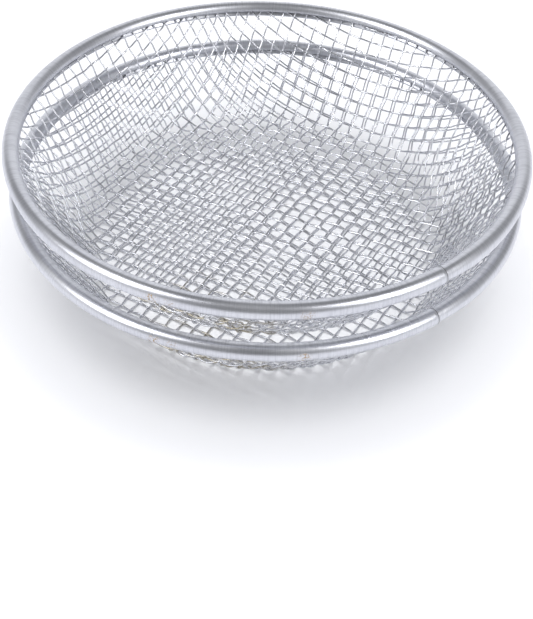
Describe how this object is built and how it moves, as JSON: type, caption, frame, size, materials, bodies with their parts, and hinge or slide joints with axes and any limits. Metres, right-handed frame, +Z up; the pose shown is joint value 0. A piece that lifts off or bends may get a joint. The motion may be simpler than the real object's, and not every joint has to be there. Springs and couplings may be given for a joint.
{
  "type": "soil sieve",
  "caption": "Round shallow hand sieve for soil: a bowl of woven wire mesh held in a rolled metal rim, nested in a matching one that it lifts out of.",
  "frame": {"origin": "centre of the underside of the lower sieve's base, on the surface that the pair stands on", "axes": "+Z up along the common axis of both bowls, -Y towards the front; the seams of the rims face the front right, 52.5 degrees from +X towards -Y"},
  "size_m": [0.25, 0.25, 0.0763],
  "materials": {
    "rim_sheet": "bright galvanised sheet, smooth rolled, lightly scratched, a few rust specks",
    "hoop_wire": "drawn steel wire",
    "mesh_wire": "bright galvanised woven wire"
  },
  "bodies": {
    "lower_sieve": {"lower_rim": "rim_sheet", "lower_hoop": "hoop_wire", "lower_warp_wires": "mesh_wire", "lower_weft_wires": "mesh_wire"},
    "upper_sieve": {"upper_rim": "rim_sheet", "upper_hoop": "hoop_wire", "upper_warp_wires": "mesh_wire", "upper_weft_wires": "mesh_wire"}
  },
  "joints": [
    {"name": "upper_lift", "type": "slide", "parent": "lower_sieve", "child": "upper_sieve", "axis": [0, 0, 1], "range_m": [-0.0158, 0.1]}
  ]
}
